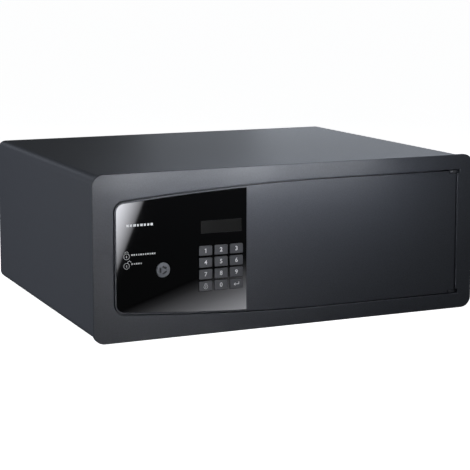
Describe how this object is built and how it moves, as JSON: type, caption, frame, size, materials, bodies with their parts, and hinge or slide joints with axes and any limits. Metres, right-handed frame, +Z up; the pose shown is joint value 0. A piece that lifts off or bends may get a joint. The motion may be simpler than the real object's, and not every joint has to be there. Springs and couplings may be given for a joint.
{
  "type": "in-room safe",
  "caption": "Laptop-size in-room safe with an arched, side-hinged steel door, gloss keypad panel, display, override lock and motor-driven bolts.",
  "frame": {"origin": "on the floor under the middle of the safe", "axes": "+X to the user's right along the width, +Y from the door to the rear wall, +Z up"},
  "size_m": [0.49, 0.395, 0.19],
  "materials": {
    "anthracite_steel": "fine-textured anthracite powder coat",
    "gloss_panel": "high-gloss black",
    "smoked_lens": "smoked, polished",
    "key_caps": "satin dark grey with white legends",
    "zinc": "zinc-plated",
    "bright_steel": "ground",
    "black_plastic": "fine-textured moulding",
    "rubber": "matt",
    "carpet": "needle felt",
    "circuit_board": "solder mask",
    "ribbon": "ribbed flat cable",
    "cell_sleeve": "printed sleeve"
  },
  "bodies": {
    "cabinet": {"body_shell": "anthracite_steel", "front_frame": "anthracite_steel", "back_panel": "anthracite_steel", "foot_front_left": "rubber", "foot_front_right": "rubber", "foot_rear_left": "rubber", "foot_rear_right": "rubber", "floor_plug_left": "black_plastic", "floor_plug_right": "black_plastic", "rear_plug_left": "black_plastic", "rear_plug_right": "black_plastic", "floor_mat": "carpet", "door_jamb": "anthracite_steel", "strike_plate": "zinc", "hinge_leaf_upper": "anthracite_steel", "hinge_leaf_lower": "anthracite_steel", "hinge_pin_upper": "bright_steel", "hinge_pin_lower": "bright_steel"},
    "door": {"door_plate": "anthracite_steel", "control_panel": "gloss_panel", "display_window": "smoked_lens", "display_module": "black_plastic", "keypad_mat": "rubber", "keypad_board": "circuit_board", "control_board": "circuit_board", "ribbon_cable": "ribbon", "door_cover": "black_plastic", "cover_screw_1": "bright_steel", "cover_screw_2": "bright_steel", "cover_screw_3": "bright_steel", "cover_screw_4": "bright_steel", "battery_tray": "black_plastic", "battery_1": "cell_sleeve", "battery_2": "cell_sleeve", "battery_3": "cell_sleeve", "battery_4": "cell_sleeve", "bolt_guide": "zinc", "motor": "zinc", "motor_bracket": "zinc", "override_housing": "zinc"},
    "bolts": {"bolt_carriage": "zinc", "bolt_lower": "bright_steel", "bolt_upper": "bright_steel"},
    "pinion": {"motor_pinion": "black_plastic"},
    "override": {"override_disc": "zinc", "override_cylinder": "bright_steel"},
    "battery_lid": {"battery_lid": "black_plastic"},
    "key_1": {"key_1": "key_caps"},
    "key_2": {"key_2": "key_caps"},
    "key_3": {"key_3": "key_caps"},
    "key_4": {"key_4": "key_caps"},
    "key_5": {"key_5": "key_caps"},
    "key_6": {"key_6": "key_caps"},
    "key_7": {"key_7": "key_caps"},
    "key_8": {"key_8": "key_caps"},
    "key_9": {"key_9": "key_caps"},
    "key_lock": {"key_lock": "key_caps"},
    "key_0": {"key_0": "key_caps"},
    "key_enter": {"key_enter": "key_caps"}
  },
  "joints": [
    {"name": "door_hinge", "type": "hinge", "parent": "cabinet", "child": "door", "pos_m": [0.216, -0.1933, 0.095], "axis": [0, 0, 1], "range_deg": [0, 105]},
    {"name": "bolt_throw", "type": "slide", "parent": "door", "child": "bolts", "axis": [-1, 0, 0], "range_m": [0, 0.02]},
    {"name": "pinion_spin", "type": "hinge", "parent": "door", "child": "pinion", "pos_m": [-0.122, -0.1672, 0.095], "axis": [0, 0, 1], "range_deg": [-200, 10]},
    {"name": "override_turn", "type": "hinge", "parent": "door", "child": "override", "pos_m": [-0.162, -0.195, 0.0782], "axis": [0, 1, 0], "range_deg": [0, 90]},
    {"name": "battery_lid_slide", "type": "slide", "parent": "door", "child": "battery_lid", "axis": [0, 1, 0], "range_m": [0, 0.02]},
    {"name": "key_1_press", "type": "slide", "parent": "door", "child": "key_1", "axis": [0, 1, 0], "range_m": [0, 0.001], "stiffness_N_per_m": 400},
    {"name": "key_2_press", "type": "slide", "parent": "door", "child": "key_2", "axis": [0, 1, 0], "range_m": [0, 0.001], "stiffness_N_per_m": 400},
    {"name": "key_3_press", "type": "slide", "parent": "door", "child": "key_3", "axis": [0, 1, 0], "range_m": [0, 0.001], "stiffness_N_per_m": 400},
    {"name": "key_4_press", "type": "slide", "parent": "door", "child": "key_4", "axis": [0, 1, 0], "range_m": [0, 0.001], "stiffness_N_per_m": 400},
    {"name": "key_5_press", "type": "slide", "parent": "door", "child": "key_5", "axis": [0, 1, 0], "range_m": [0, 0.001], "stiffness_N_per_m": 400},
    {"name": "key_6_press", "type": "slide", "parent": "door", "child": "key_6", "axis": [0, 1, 0], "range_m": [0, 0.001], "stiffness_N_per_m": 400},
    {"name": "key_7_press", "type": "slide", "parent": "door", "child": "key_7", "axis": [0, 1, 0], "range_m": [0, 0.001], "stiffness_N_per_m": 400},
    {"name": "key_8_press", "type": "slide", "parent": "door", "child": "key_8", "axis": [0, 1, 0], "range_m": [0, 0.001], "stiffness_N_per_m": 400},
    {"name": "key_9_press", "type": "slide", "parent": "door", "child": "key_9", "axis": [0, 1, 0], "range_m": [0, 0.001], "stiffness_N_per_m": 400},
    {"name": "key_lock_press", "type": "slide", "parent": "door", "child": "key_lock", "axis": [0, 1, 0], "range_m": [0, 0.001], "stiffness_N_per_m": 400},
    {"name": "key_0_press", "type": "slide", "parent": "door", "child": "key_0", "axis": [0, 1, 0], "range_m": [0, 0.001], "stiffness_N_per_m": 400},
    {"name": "key_enter_press", "type": "slide", "parent": "door", "child": "key_enter", "axis": [0, 1, 0], "range_m": [0, 0.001], "stiffness_N_per_m": 400}
  ],
  "couplings": [
    {"joint": "pinion_spin", "follows": "bolt_throw", "rad_per_m": -166.67}
  ]
}
